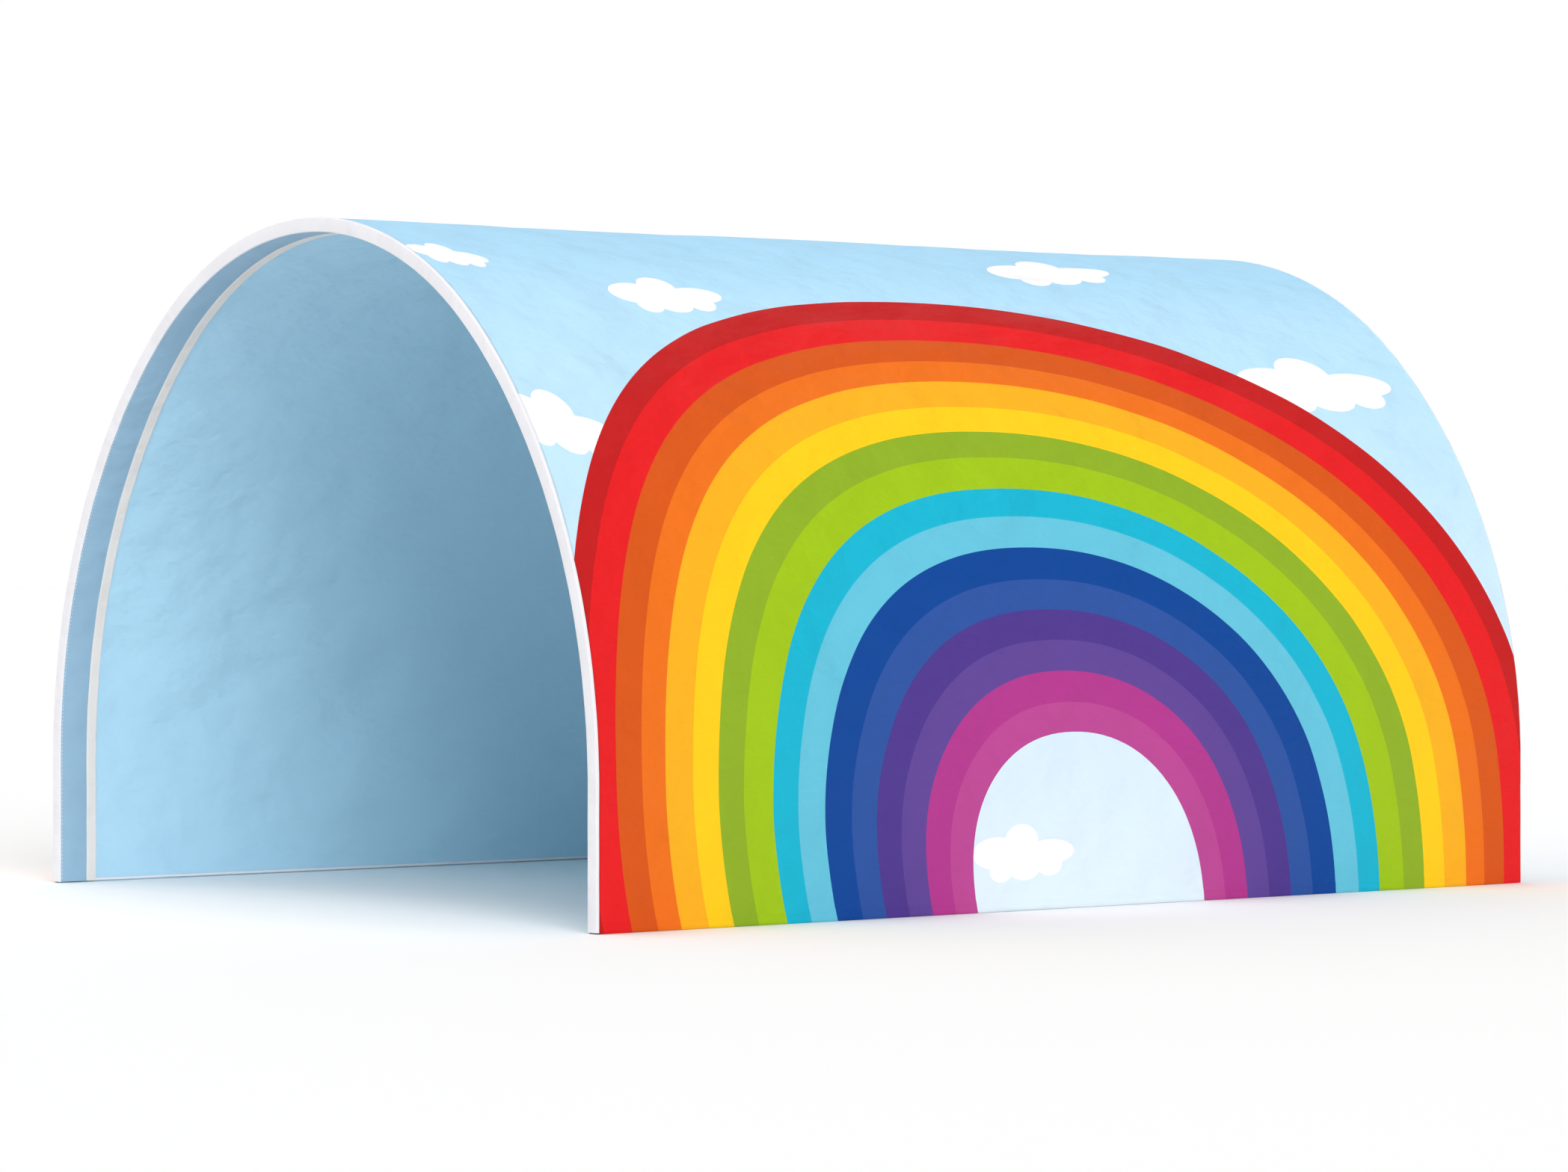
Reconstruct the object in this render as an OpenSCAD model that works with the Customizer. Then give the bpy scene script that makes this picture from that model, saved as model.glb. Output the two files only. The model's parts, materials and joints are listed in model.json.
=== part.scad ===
// Open-bottomed agility tunnel: a printed double-wall textile arch on three fibreglass hoops,
// spread lengthwise by two telescopic rails inside its bottom hems.
// Origin at the middle of the footprint on the ground, +Z up, the tunnel's axis along Y.
// The front opening faces -Y.

/* [Overall] */
// Outside width at the ground
width = 1000; // [900:10:1100]
// Outside length when spread
length = 1250; // [1100:10:1500]
// Outside height
height = 700; // [660:5:800]
// Outside radius of the crown arc
crown_radius = 450; // [430:5:470]
// Angle from the top to where the crown arc meets the haunch arc
crown_half_angle = 42; // [38:1:46]

/* [Textile] */
// Thickness of the whole double wall, outer face to lining face
wall = 13; // [13:0.5:16]
// Thickness of the printed outer cover
cover_t = 0.8; // [0.6:0.1:1]
// Thickness of the lining
lining_t = 0.8; // [0.6:0.1:1]
// Thickness of the facings, tapes and bindings
trim_t = 0.8; // [0.6:0.1:1]
// Width of the facing that holds an end hoop
facing_w = 36; // [32:1:40]
// Width of the light tape sewn over the facing's inner edge
tape_w = 10; // [6:1:14]
// How far the front binding laps onto the outer cover; the rear one ends flush with it
binding_lap = 3; // [2:0.5:6]
// Height of the narrow hem tape along the lining's foot
hem_tape_h = 2.5; // [2:0.5:6]
// How far the trim stays above the ground
trim_lift = 1; // [0.5:0.5:3]

/* [Frame] */
// Diameter of the hoop rods and of the rails' inner rods
rod_d = 7; // [6:0.5:7]
// Outside diameter of the rails' outer tubes
tube_d = 9; // [8.6:0.1:9]
// Outside diameter of the ferrules that join a hoop's three rods
ferrule_d = 9.2; // [8.8:0.1:9.6]
// Outside diameter of the twist-lock collars
collar_d = 11; // [10.6:0.1:11]
// Width of the moulded corners and sliders across the wall
moulding_w = 10.4; // [10:0.1:10.6]
// Height of the rails' centre lines above the ground
rail_z = 20; // [18:1:26]
// Height at which the hoop rods start
leg_bottom = 31; // [30:1:40]
// Height of the corners' and sliders' top ends
socket_top = 72; // [66:1:90]

/* [Travel] */
// How far the rear frame slides towards the front frame
rear_travel = 450; // [300:10:450]

/* [Hidden] */
$fn = 180;

// The arch's outer line: crown arc, two haunch arcs that meet it without a kink, straight legs.
crown_z = height - crown_radius;
haunch_radius = (width / 2 - crown_radius * sin(crown_half_angle)) / (1 - sin(crown_half_angle));
haunch_x = width / 2 - haunch_radius;
haunch_z = crown_z + (crown_radius - haunch_radius) * cos(crown_half_angle);
arch_overlap = 40;

// Fits and small gaps
fit_gap = 0.05;
seam_gap = 0.1;
trim_gap = 0.3;

// The frame lies half way between the two layers
frame_depth = wall / 2;
frame_x = width / 2 - frame_depth;
trim_depth = wall + trim_gap + trim_t;
end_y = length / 2;
hoop_y = end_y - facing_w / 2;

// Rails: the outer tube is on the front frame, the inner rod on the rear frame
arm_l = 32;
arm_h = 13;
spigot_l = 30;
arm_end_y = hoop_y - arm_l;
tube_bore_d = rod_d + 0.2;
collar_l = 28;
collar_grip_l = 11;
collar_clear = 13;
tube_end_y = arm_end_y - rear_travel - collar_clear - collar_grip_l - 1;
collar_y = tube_end_y + 1 + collar_grip_l - collar_l;
rod_engaged = 90;
collar_ribs = 18;
rib_d = 0.9;

// Mouldings
post_l = 13;
post_corner_r = 3;
slider_l = 30;
slider_h = 13;
pin_d = 2.4;
pin_z = 52;
foot_l = 26;
foot_w = 10;
foot_h = 8;
foot_corner_r = 3;
peg_d = 4;
peg_l = 4.5;
ferrule_crown_angle = 4;
ferrule_haunch_angle = 3;
sleeve_w = 34;
sleeve_t = 0.6;

cover_color = [0.70, 0.87, 0.98];
lining_color = [0.67, 0.85, 0.97];
facing_color = [0.59, 0.72, 0.82];
trim_color = [0.95, 0.95, 0.96];
rod_color = [0.88, 0.88, 0.84];
metal_color = [0.72, 0.73, 0.75];
moulding_color = [0.20, 0.21, 0.23];
rubber_color = [0.12, 0.12, 0.12];

// Everything inside the arch's outer line moved inwards by depth, from height z0 up.
// The legs, the haunches and the crown overlap, so that no seam is left between them.
module arch_fill(depth, z0) {
    split_z = crown_z + (crown_radius - depth) * cos(crown_half_angle);
    half_w = width / 2 - depth;
    translate([-half_w, z0]) square([2 * half_w, haunch_z - z0]);
    intersection() {
        translate([haunch_x, haunch_z]) circle(r = haunch_radius - depth);
        translate([-haunch_x, haunch_z]) circle(r = haunch_radius - depth);
        translate([-half_w, haunch_z - arch_overlap]) square([2 * half_w, split_z - haunch_z + arch_overlap]);
    }
    intersection() {
        translate([0, crown_z]) circle(r = crown_radius - depth);
        translate([-half_w, split_z - arch_overlap]) square([2 * half_w, height]);
    }
}

// A layer of the wall between two depths, from y0 to y1
module arch_band(depth0, depth1, y0, y1, z0) {
    translate([0, y1, 0]) rotate([90, 0, 0]) linear_extrude(y1 - y0) difference() {
        arch_fill(depth0, z0);
        arch_fill(depth1, z0 - 1);
    }
}

module on_side(side) {
    if (side > 0) children();
    else mirror([1, 0, 0]) children();
}

// Part of a ring that stands across the tunnel: centre [x, z], angles from +X towards +Z
module ring_segment(y, centre, radius, from, to, outer_d, inner_d = 0) {
    translate([centre.x, y, centre.y]) rotate([90, 0, 0]) rotate([0, 0, from])
        rotate_extrude(angle = to - from) translate([radius, 0]) difference() {
            circle(d = outer_d);
            if (inner_d > 0) circle(d = inner_d);
        }
}

module pin_at(y, z) {
    translate([frame_x - moulding_w / 2 + 0.4, y, z]) rotate([0, 90, 0])
        cylinder(d = pin_d, h = moulding_w - 0.8);
}

module pin_hole_at(y, z) {
    translate([frame_x - moulding_w, y, z]) rotate([0, 90, 0])
        cylinder(d = pin_d + 2 * fit_gap, h = 2 * moulding_w);
}

module hoop_crown(y) {
    color(rod_color) ring_segment(y, [0, crown_z], crown_radius - frame_depth,
        90 - crown_half_angle, 90 + crown_half_angle, rod_d);
}

module hoop_leg(side, y) {
    color(rod_color) on_side(side) difference() {
        union() {
            ring_segment(y, [haunch_x, haunch_z], haunch_radius - frame_depth, 0, 90 - crown_half_angle, rod_d);
            translate([frame_x, y, leg_bottom]) cylinder(d = rod_d, h = haunch_z - leg_bottom);
        }
        pin_hole_at(y, pin_z);
    }
}

module hoop_ferrules(y) {
    joint_angle = 90 - crown_half_angle;
    color(metal_color) for (side = [-1, 1]) on_side(side) {
        ring_segment(y, [0, crown_z], crown_radius - frame_depth,
            joint_angle, joint_angle + ferrule_crown_angle, ferrule_d, rod_d + 2 * fit_gap);
        ring_segment(y, [haunch_x, haunch_z], haunch_radius - frame_depth,
            joint_angle - ferrule_haunch_angle, joint_angle, ferrule_d, rod_d + 2 * fit_gap);
    }
}

// A rectangle with round corners, centred
module round_rect(w, h, r) {
    square([w - 2 * r, h], center = true);
    square([w, h - 2 * r], center = true);
    for (x = [-1, 1], y = [-1, 1]) translate([x * (w / 2 - r), y * (h / 2 - r)]) circle(r = r);
}

module along_y(y0, l) {
    translate([frame_x, y0 + l, rail_z]) rotate([90, 0, 0]) linear_extrude(l) children();
}

// Corner under an end hoop: end is -1 at the front and 1 at the rear
module corner(side, end) {
    y = end * hoop_y;
    arm_y0 = end < 0 ? -hoop_y : arm_end_y;
    color(moulding_color) on_side(side) difference() {
        union() {
            translate([frame_x, y, foot_h]) linear_extrude(socket_top - foot_h)
                round_rect(moulding_w, post_l, post_corner_r);
            along_y(arm_y0, arm_l) round_rect(moulding_w, arm_h, post_corner_r);
            if (end < 0) along_y(-arm_end_y - 1, spigot_l + 1) circle(d = rod_d);
        }
        translate([frame_x, y, leg_bottom]) cylinder(d = rod_d + 2 * fit_gap, h = socket_top);
        pin_hole_at(y, pin_z);
        translate([frame_x, y, foot_h - 1]) cylinder(d = peg_d + 2 * fit_gap, h = peg_l + 1.5);
        if (end > 0) {
            along_y(arm_end_y - 1, arm_l - 6) circle(d = rod_d + 2 * fit_gap);
            pin_hole_at(arm_end_y + 12, rail_z);
        } else pin_hole_at(-arm_end_y + 12, rail_z);
    }
}

module foot(side, end) {
    color(rubber_color) on_side(side) translate([frame_x, end * hoop_y, 0]) {
        linear_extrude(foot_h) round_rect(foot_w, foot_l, foot_corner_r);
        translate([0, 0, foot_h - 1]) cylinder(d = peg_d, h = peg_l + 1);
    }
}

module end_pins(end) {
    color(metal_color) for (side = [-1, 1]) on_side(side) {
        pin_at(end * hoop_y, pin_z);
        pin_at(end * arm_end_y + 12, rail_z);
    }
}

module rail_tube(side) {
    color(metal_color) on_side(side) difference() {
        along_y(-arm_end_y, tube_end_y + arm_end_y) difference() {
            circle(d = tube_d);
            circle(d = tube_bore_d);
        }
        pin_hole_at(-arm_end_y + 12, rail_z);
    }
}

module rail_rod(side) {
    rod_y0 = tube_end_y - rod_engaged;
    color(rod_color) on_side(side) difference() {
        along_y(rod_y0, arm_end_y + arm_l - 8 - rod_y0) circle(d = rod_d);
        pin_hole_at(arm_end_y + 12, rail_z);
    }
}

// Turns on the tube's end and closes on the rod
module lock_collar(side) {
    color(moulding_color) on_side(side) difference() {
        along_y(collar_y, collar_l) circle(d = collar_d);
        along_y(collar_y - 1, tube_end_y + 1 + 0.5 - collar_y) circle(d = tube_d + 2 * fit_gap);
        along_y(collar_y - 1, collar_l + 2) circle(d = rod_d + 4 * fit_gap);
        for (i = [0 : collar_ribs - 1]) along_y(collar_y + 3, collar_l - 6)
            rotate(i * 360 / collar_ribs) translate([collar_d / 2 + rib_d / 5, 0]) circle(d = rib_d);
    }
}

// Runs on the rail's outer tube and carries the middle hoop
module slider(side) {
    color(moulding_color) on_side(side) difference() {
        union() {
            along_y(-slider_l / 2, slider_l) round_rect(moulding_w, slider_h, post_corner_r);
            translate([frame_x, 0, rail_z]) linear_extrude(socket_top - rail_z)
                round_rect(moulding_w, post_l, post_corner_r);
        }
        along_y(-slider_l, 2 * slider_l) circle(d = tube_d + 2 * fit_gap);
        translate([frame_x, 0, leg_bottom]) cylinder(d = rod_d + 2 * fit_gap, h = socket_top);
        pin_hole_at(0, pin_z);
    }
}

module middle_pins() {
    color(metal_color) for (side = [-1, 1]) on_side(side) pin_at(0, pin_z);
}

module hoop_sleeve() {
    depth = frame_depth + ferrule_d / 2 + seam_gap;
    color(lining_color) arch_band(depth, depth + sleeve_t, -sleeve_w / 2, sleeve_w / 2, socket_top + 3);
}

module cover() {
    front_end = end_y - binding_lap - seam_gap;
    rear_end = end_y - trim_t - seam_gap;
    color(cover_color) arch_band(0, cover_t, -front_end, rear_end, 0);
}

module inner_lining() {
    lining_end = end_y - trim_t - seam_gap;
    color(lining_color) arch_band(wall - lining_t, wall, -lining_end, lining_end, 0);
}

// Closes the bottom of the wall between the two corners
module hem_gusset(side) {
    gusset_x = width / 2 - wall + lining_t + seam_gap;
    gusset_w = wall - cover_t - lining_t - 2 * seam_gap;
    gusset_end = hoop_y - foot_l / 2 - 2;
    color(trim_color) on_side(side) translate([gusset_x, -gusset_end, trim_lift])
        cube([gusset_w, 2 * gusset_end, trim_t]);
}

module hem_tape(side) {
    tape_end = end_y - facing_w - tape_w - seam_gap;
    color(trim_color) on_side(side) translate([width / 2 - trim_depth, -tape_end, trim_lift])
        cube([trim_t, 2 * tape_end, hem_tape_h]);
}

module at_end(end) {
    if (end < 0) children();
    else mirror([0, 1, 0]) children();
}

module binding(end) {
    color(trim_color) at_end(end) {
        arch_band(0, trim_depth, -end_y, -end_y + trim_t, trim_lift);
        if (end < 0) arch_band(0, cover_t, -end_y, -end_y + binding_lap, trim_lift);
    }
}

module facing(end) {
    color(facing_color) at_end(end)
        arch_band(wall + trim_gap, trim_depth, -end_y + trim_t, -end_y + facing_w, trim_lift);
}

module inner_tape(end) {
    color(trim_color) at_end(end)
        arch_band(wall + trim_gap, trim_depth, -end_y + facing_w, -end_y + facing_w + tape_w, trim_lift);
}

cover();  // outer_cover
inner_lining();  // lining
hem_gusset(-1);  // left_hem_gusset
hem_gusset(1);  // right_hem_gusset
hem_tape(-1);  // left_hem_tape
hem_tape(1);  // right_hem_tape
binding(-1);  // front_binding
facing(-1);  // front_facing
inner_tape(-1);  // front_inner_tape
hoop_leg(-1, -hoop_y);  // front_hoop_left_leg
hoop_crown(-hoop_y);  // front_hoop_crown
hoop_leg(1, -hoop_y);  // front_hoop_right_leg
hoop_ferrules(-hoop_y);  // front_hoop_ferrules
corner(-1, -1);  // front_left_corner
corner(1, -1);  // front_right_corner
foot(-1, -1);  // front_left_foot
foot(1, -1);  // front_right_foot
end_pins(-1);  // front_rod_pins
rail_tube(-1);  // left_rail_tube
rail_tube(1);  // right_rail_tube
lock_collar(-1);  // left_lock_collar
lock_collar(1);  // right_lock_collar
hoop_leg(-1, 0);  // middle_hoop_left_leg
hoop_crown(0);  // middle_hoop_crown
hoop_leg(1, 0);  // middle_hoop_right_leg
hoop_ferrules(0);  // middle_hoop_ferrules
slider(-1);  // middle_left_slider
slider(1);  // middle_right_slider
middle_pins();  // middle_rod_pins
hoop_sleeve();  // middle_hoop_sleeve
binding(1);  // rear_binding
facing(1);  // rear_facing
inner_tape(1);  // rear_inner_tape
hoop_leg(-1, hoop_y);  // rear_hoop_left_leg
hoop_crown(hoop_y);  // rear_hoop_crown
hoop_leg(1, hoop_y);  // rear_hoop_right_leg
hoop_ferrules(hoop_y);  // rear_hoop_ferrules
corner(-1, 1);  // rear_left_corner
corner(1, 1);  // rear_right_corner
foot(-1, 1);  // rear_left_foot
foot(1, 1);  // rear_right_foot
end_pins(1);  // rear_rod_pins
rail_rod(-1);  // left_rail_rod
rail_rod(1);  // right_rail_rod
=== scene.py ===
"""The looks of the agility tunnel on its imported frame.

It makes the cover with its rainbow print, the lining, and the channels, bindings, tapes, hems and stitches at
their edges, and gives every carried-over CAD node its material.
"""

import json
import math

import bpy
import numpy as np
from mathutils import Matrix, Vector


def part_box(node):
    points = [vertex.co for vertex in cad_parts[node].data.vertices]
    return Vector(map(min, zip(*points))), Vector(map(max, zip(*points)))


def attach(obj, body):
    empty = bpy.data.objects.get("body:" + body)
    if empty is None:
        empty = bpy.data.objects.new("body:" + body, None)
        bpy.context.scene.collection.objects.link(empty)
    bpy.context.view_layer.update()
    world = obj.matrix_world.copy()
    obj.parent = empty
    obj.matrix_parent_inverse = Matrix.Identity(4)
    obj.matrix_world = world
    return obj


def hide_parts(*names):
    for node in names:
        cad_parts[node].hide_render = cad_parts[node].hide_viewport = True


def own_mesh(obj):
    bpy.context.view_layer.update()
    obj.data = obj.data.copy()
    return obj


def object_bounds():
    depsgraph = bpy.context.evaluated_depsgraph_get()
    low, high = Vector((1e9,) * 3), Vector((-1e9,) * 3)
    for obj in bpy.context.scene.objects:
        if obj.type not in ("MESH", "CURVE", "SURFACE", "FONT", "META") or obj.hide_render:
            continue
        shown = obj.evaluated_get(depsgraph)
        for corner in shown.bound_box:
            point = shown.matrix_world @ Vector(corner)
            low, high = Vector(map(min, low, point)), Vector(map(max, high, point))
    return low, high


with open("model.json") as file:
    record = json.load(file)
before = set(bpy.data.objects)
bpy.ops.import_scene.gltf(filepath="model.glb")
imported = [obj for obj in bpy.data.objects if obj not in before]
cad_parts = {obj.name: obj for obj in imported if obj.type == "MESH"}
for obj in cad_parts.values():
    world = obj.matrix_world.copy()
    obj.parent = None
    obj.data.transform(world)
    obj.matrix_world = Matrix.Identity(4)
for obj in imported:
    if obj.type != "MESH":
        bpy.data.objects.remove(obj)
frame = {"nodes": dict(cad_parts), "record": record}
cad_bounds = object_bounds()

MM = 0.001

# ---------------------------------------------------------------- the arch's outer line, as in the CAD model
HALF_WIDTH, END_Y, HEIGHT = cad_bounds[1]
CROWN_RADIUS = 0.450
CROWN_HALF_ANGLE = math.radians(42)
HAUNCH_ANGLE = math.pi / 2 - CROWN_HALF_ANGLE
CROWN_Z = HEIGHT - CROWN_RADIUS
HAUNCH_RADIUS = (HALF_WIDTH - CROWN_RADIUS * math.sin(CROWN_HALF_ANGLE)) / (1 - math.sin(CROWN_HALF_ANGLE))
HAUNCH_X = HALF_WIDTH - HAUNCH_RADIUS
HAUNCH_Z = CROWN_Z + (CROWN_RADIUS - HAUNCH_RADIUS) * math.cos(CROWN_HALF_ANGLE)
HAUNCH_LENGTH = HAUNCH_RADIUS * HAUNCH_ANGLE
GIRTH = 2 * (HAUNCH_Z + HAUNCH_LENGTH + CROWN_RADIUS * CROWN_HALF_ANGLE)

# ---------------------------------------------------------------- the wall, from the CAD nodes
# Depths are measured inwards from the arch's outer line.
CLOTH = 0.8 * MM
WALL = HALF_WIDTH - (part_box("lining")[1].x - CLOTH)
TRIM_DEPTH = HALF_WIDTH - (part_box("front_facing")[1].x - CLOTH)
COVER_FRONT = -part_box("outer_cover")[0].y
COVER_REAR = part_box("outer_cover")[1].y
LINING_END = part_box("lining")[1].y
FACING_WIDTH = 36 * MM
TAPE_WIDTH = 10 * MM
FRONT_LAP = END_Y - COVER_FRONT
TRIM_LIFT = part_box("front_binding")[0].z
ROD_RADIUS = 3.5 * MM
# From the middle hoop to an end hoop
BAY = ROD_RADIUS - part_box("front_hoop_crown")[1].y

# ---------------------------------------------------------------- sewing and mesh fineness
STITCH_PITCH = 4.2 * MM
STITCH_LENGTH = 0.74 * STITCH_PITCH
# Width and height of a stitch, round the arch and along the tunnel
TRIM_THREAD = (0.62 * MM, 0.42 * MM)
HEM_THREAD = (0.55 * MM, 0.36 * MM)
HEM_FOLD = 11 * MM
HEM_STEP = 2 * MM
HEM_PROUD = 0.35 * MM
BAND_RINGS = 300
SHARP_ANGLE = math.radians(40)
GOLDEN_ANGLE = math.pi * (3 - math.sqrt(5))


def arch(s, depth):
    """x, z and the outward normal at arc length s from the right foot, moved inwards by depth."""
    s = np.asarray(s, float)
    from_foot = np.minimum(s, GIRTH - s)
    side = np.where(s <= GIRTH / 2, 1.0, -1.0)
    haunch_turn = (from_foot - HAUNCH_Z) / HAUNCH_RADIUS
    in_crown = haunch_turn > HAUNCH_ANGLE
    crown_turn = HAUNCH_ANGLE + (from_foot - HAUNCH_Z - HAUNCH_LENGTH) / CROWN_RADIUS
    turn = np.where(in_crown, crown_turn, np.maximum(haunch_turn, 0))
    radius = np.where(in_crown, CROWN_RADIUS, HAUNCH_RADIUS) - depth
    x = np.where(in_crown, 0, HAUNCH_X) + radius * np.cos(turn)
    z = np.where(in_crown, CROWN_Z, HAUNCH_Z) + radius * np.sin(turn)
    z = np.where(from_foot < HAUNCH_Z, from_foot, z)
    return side * x, z, side * np.cos(turn), np.sin(turn)


def on_arch(y, s, depth):
    """Points on the wall: y along the tunnel, s round it, depth inwards."""
    y, s, depth = np.broadcast_arrays(y, s, depth)
    x, z, _, _ = arch(s, depth)
    return np.stack([x, y, z], -1)


# ---------------------------------------------------------------- mesh helpers
def make_object(name, points, faces, flat_faces=0, sharp_angle=None):
    """A mesh object. The last flat_faces faces are shaded flat."""
    mesh = bpy.data.meshes.new(name)
    mesh.from_pydata(points.reshape(-1, 3).tolist(), [], faces)
    smooth = np.ones(len(faces), bool)
    if flat_faces:
        smooth[-flat_faces:] = False
    mesh.polygons.foreach_set("use_smooth", smooth)
    if sharp_angle:
        mesh.set_sharp_from_angle(angle=sharp_angle)
    mesh.update()
    made = bpy.data.objects.new(name, mesh)
    bpy.context.scene.collection.objects.link(made)
    return made


def add_attribute(piece, name, kind, values):
    """Stores a number or a vector at each of the piece's points."""
    attribute = piece.data.attributes.new(name, kind, "POINT")
    field = "vector" if kind == "FLOAT_VECTOR" else "value"
    attribute.data.foreach_set(field, np.asarray(values, np.float32).ravel())


def cloth_sheet(name, ys, ss, depth, inward):
    """A thin closed sheet over a grid of y and s; inward(y, s) is how far each point is pulled inwards."""
    y, s = np.meshgrid(ys, ss, indexing="ij")
    pull = inward(y, s)
    outer = on_arch(y, s, depth + pull)
    inner = on_arch(y, s, depth + pull + CLOTH)
    rows, columns = y.shape
    index = np.arange(rows * columns).reshape(rows, columns)
    a, b, c, d = index[:-1, :-1], index[1:, :-1], index[1:, 1:], index[:-1, 1:]
    outside = np.stack([a, b, c, d], -1).reshape(-1, 4)
    inside = outside[:, ::-1] + rows * columns
    border = np.concatenate([index[0, :], index[1:, -1], index[-1, -2::-1], index[-2:0:-1, 0]])
    after = np.roll(border, -1)
    rim = np.stack([border, border + rows * columns, after + rows * columns, after], -1)
    faces = np.concatenate([outside[:, ::-1], inside[:, ::-1], rim[:, ::-1]]).tolist()
    points = np.concatenate([outer.reshape(-1, 3), inner.reshape(-1, 3)])
    piece = make_object(name, points, faces, len(rim))
    from_foot = np.minimum(s, GIRTH - s)
    flat = np.stack([y, from_foot, s], -1).reshape(-1, 3)
    add_attribute(piece, "flat", "FLOAT_VECTOR", np.concatenate([flat, flat]))
    return piece


def loft(name, rings, flat):
    """A closed solid through rings of points, capped at both ends. flat is each point's place on cloth."""
    count, size = rings.shape[:2]
    index = np.arange(count * size).reshape(count, size)
    after = np.roll(index, -1, axis=1)
    walls = np.stack([index[:-1], after[:-1], after[1:], index[1:]], -1).reshape(-1, 4).tolist()
    caps = [index[0, ::-1].tolist(), index[-1].tolist()]
    piece = make_object(name, rings, walls + caps, len(caps), SHARP_ANGLE)
    add_attribute(piece, "flat", "FLOAT_VECTOR", flat)
    fix_normals(piece)
    return piece


def fix_normals(piece):
    """Turns the mesh inside out if its volume came out negative."""
    mesh = piece.data
    points = np.empty(len(mesh.vertices) * 3)
    mesh.vertices.foreach_get("co", points)
    points = points.reshape(-1, 3)
    mesh.calc_loop_triangles()
    corners = np.empty(len(mesh.loop_triangles) * 3, int)
    mesh.loop_triangles.foreach_get("vertices", corners)
    a, b, c = (points[corners.reshape(-1, 3)[:, i]] for i in range(3))
    if (a * np.cross(b, c)).sum() < 0:
        mesh.flip_normals()


def band_round_arch(name, profile, ripple=None):
    """A band round the whole arch. profile is a closed list of (depth, y); ripple(s) moves it along y."""
    ss = np.linspace(TRIM_LIFT, GIRTH - TRIM_LIFT, BAND_RINGS)
    depths, ys = (np.array(v) for v in zip(*profile))
    y = ys[None, :] + (ripple(ss)[:, None] if ripple else 0)
    s = np.repeat(ss[:, None], len(profile), 1)
    depth = np.repeat(depths[None, :], BAND_RINGS, 0)
    around = np.concatenate([[0], np.cumsum(np.hypot(np.diff(depths), np.diff(ys)))])
    flat = np.stack([np.repeat(around[None, :], BAND_RINGS, 0), s, s], -1)
    return loft(name, on_arch(y, s, depth), flat)


def stitch_row(name, centres, along, out, length, width, height):
    """Thread stitches: small beans at centres, lying along one direction and standing out of the cloth."""
    along = along / np.linalg.norm(along, axis=1, keepdims=True)
    across = np.cross(out, along)
    sides = 6
    angles = np.arange(sides) * 2 * math.pi / sides
    reach = np.array([-0.5, -0.36, 0.0, 0.36, 0.5]) * length
    swell = np.array([0.30, 0.85, 1.0, 0.85, 0.30])
    sink = np.array([-0.7, 0.0, 0.18, 0.0, -0.7]) * height
    points = (
        centres[:, None, None, :]
        + reach[None, :, None, None] * along[:, None, None, :]
        + (np.cos(angles)[None, :] * swell[:, None])[None, :, :, None] * width / 2 * across[:, None, None, :]
        + ((np.sin(angles)[None, :] * swell[:, None]) * height / 2 + sink[:, None])[None, :, :, None]
        * out[:, None, None, :]
    )
    rings = len(reach)
    one = np.arange(rings * sides).reshape(rings, sides)
    after = np.roll(one, -1, axis=1)
    walls = np.stack([one[:-1], after[:-1], after[1:], one[1:]], -1).reshape(-1, 4)
    offsets = (np.arange(len(centres)) * rings * sides)[:, None, None]
    faces = (walls[None] + offsets).reshape(-1, 4).tolist()
    first, last = one[0, ::-1], one[-1]
    caps = (np.stack([first, last])[None] + offsets).reshape(-1, sides).tolist()
    piece = make_object(name, points, faces + caps)
    add_attribute(piece, "flat", "FLOAT_VECTOR", points)
    fix_normals(piece)
    return piece


def stitches_round_arch(name, y, depth, inward=True, lift=TRIM_LIFT):
    """A row of stitches round the arch at one y, on the face at that depth."""
    ss = np.arange(lift + STITCH_PITCH, GIRTH - lift - STITCH_PITCH / 2, STITCH_PITCH)
    centres = on_arch(y, ss, depth)
    _, _, nx, nz = arch(ss, depth)
    out = np.stack([nx, 0 * nx, nz], -1) * (-1 if inward else 1)
    along = np.stack([-nz, 0 * nx, nx], -1)
    return stitch_row(name, centres, along, out, STITCH_LENGTH, *TRIM_THREAD)


def stitches_along(name, side, y0, y1, z, depth, inward):
    """A straight row of stitches along the tunnel on one leg of the wall."""
    ys = np.arange(y0 + STITCH_PITCH, y1 - STITCH_PITCH / 2, STITCH_PITCH)
    x = np.full_like(ys, side * (HALF_WIDTH - depth))
    centres = np.stack([x, ys, np.full_like(ys, z)], -1)
    out = np.tile([-side if inward else side, 0.0, 0.0], (len(ys), 1))
    along = np.tile([0.0, 1.0, 0.0], (len(ys), 1))
    return stitch_row(name, centres, along, out, STITCH_LENGTH, *HEM_THREAD)


def smoothstep(low, high, value):
    """0 up to low and 1 from high on, with a smooth step between."""
    t = np.clip((value - low) / (high - low), 0, 1)
    return t * t * (3 - 2 * t)


# ---------------------------------------------------------------- how the cloth lies
def wrinkles(y, s, phase):
    """Shallow wrinkles: waves whose directions turn by the golden angle, shorter and lower one by one."""
    total = 0
    for k in range(16):
        per_metre = 3.5 + 0.8 * k
        angle = GOLDEN_ANGLE * k
        along = math.cos(angle) * y + math.sin(angle) * s
        total = total + 3.5 / per_metre * np.sin(2 * math.pi * per_metre * along + phase * (k + 1) ** 2)
    return total


def off_hoops(y):
    """0 over a hoop and 1 half way between two hoops."""
    return np.sin(math.pi * np.clip(np.abs(y), 0, BAY) / BAY) ** 2


def pucker(y, s, edge, spacing, height):
    """Small gathers that run in from a sewn edge and die out."""
    near = np.exp(-np.abs(np.abs(y) - edge) / (14 * MM))
    phase = 2 * math.pi * s / spacing + 1.7 * np.sin(2 * math.pi * s / 0.173) + np.sign(y)
    return near * height * np.sin(phase)


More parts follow.
